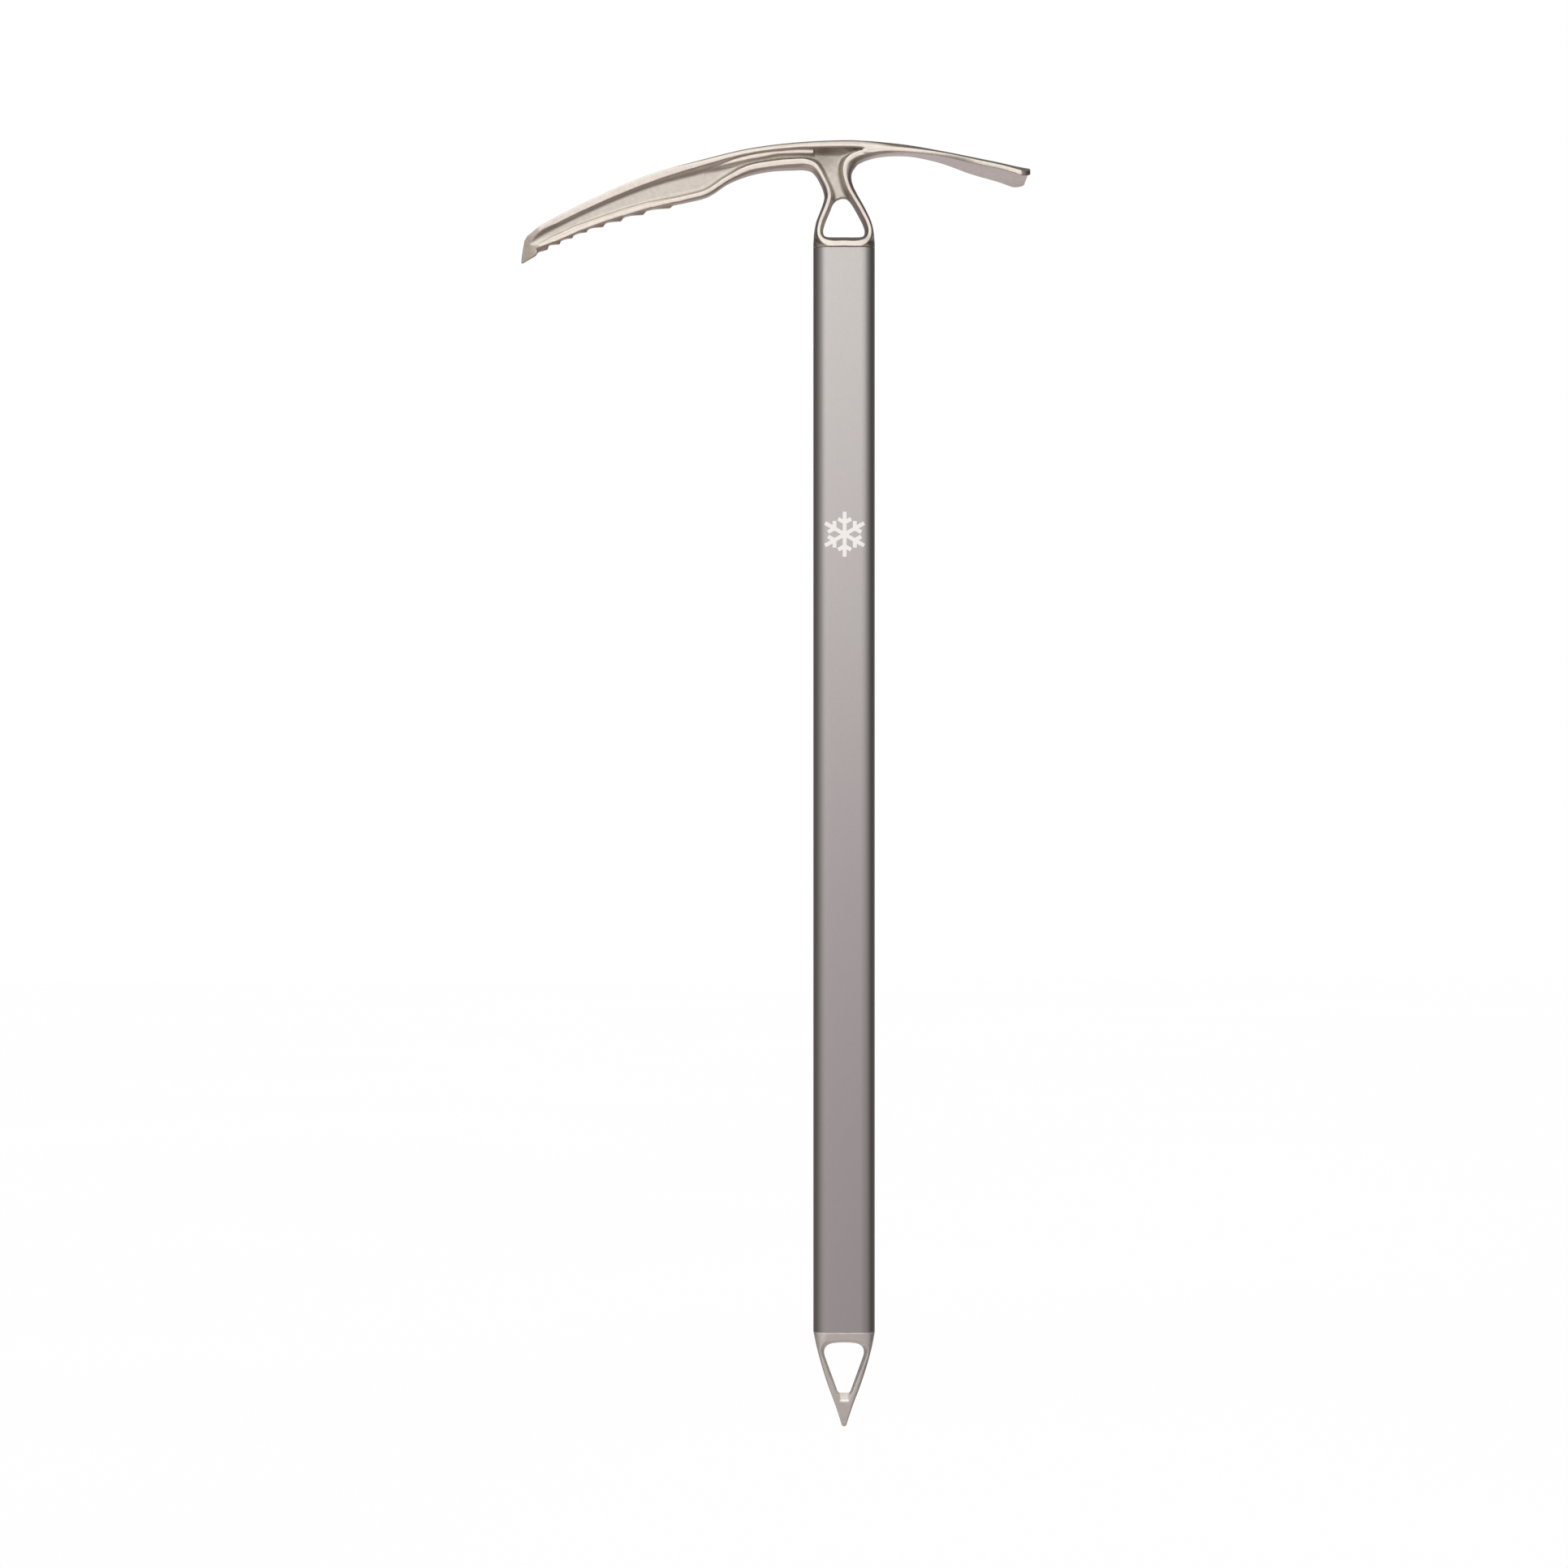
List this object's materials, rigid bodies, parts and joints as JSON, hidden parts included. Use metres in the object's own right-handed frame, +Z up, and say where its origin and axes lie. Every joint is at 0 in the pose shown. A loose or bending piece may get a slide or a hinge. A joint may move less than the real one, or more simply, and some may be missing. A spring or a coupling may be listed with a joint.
{
  "type": "ice axe",
  "caption": "Straight-shafted mountaineering ice axe: cast head with toothed pick, adze and keyhole eye, oval alloy shaft, and pointed spike with an eye.",
  "frame": {"origin": "underside of the arch over the eye in the head, on the shaft's axis, midway through its depth", "axes": "+Z up the shaft towards the head, -X towards the pick's tip, +X towards the adze, +Y through the eye; the axe is symmetric about Y = 0"},
  "size_m": [0.2365, 0.0576, 0.6],
  "materials": {
    "cast_head": "tumbled satin investment-cast stainless steel, warm nickel tone",
    "anodised_shaft": "fine bead-blasted and clear-to-grey anodised aluminium tube",
    "cast_spike": "satin investment-cast stainless steel, greyer than the head",
    "adhesive": "cured epoxy, hidden in the joint",
    "steel_pin": "ground steel pin",
    "shaft_mark": "white pad-printed ink"
  },
  "bodies": {
    "root": {"head": "cast_head", "shaft": "anodised_shaft", "spike": "cast_spike", "head_bond": "adhesive", "spike_bond": "adhesive", "head_pin_upper": "steel_pin", "head_pin_lower": "steel_pin", "spike_pin": "steel_pin"}
  },
  "joints": []
}
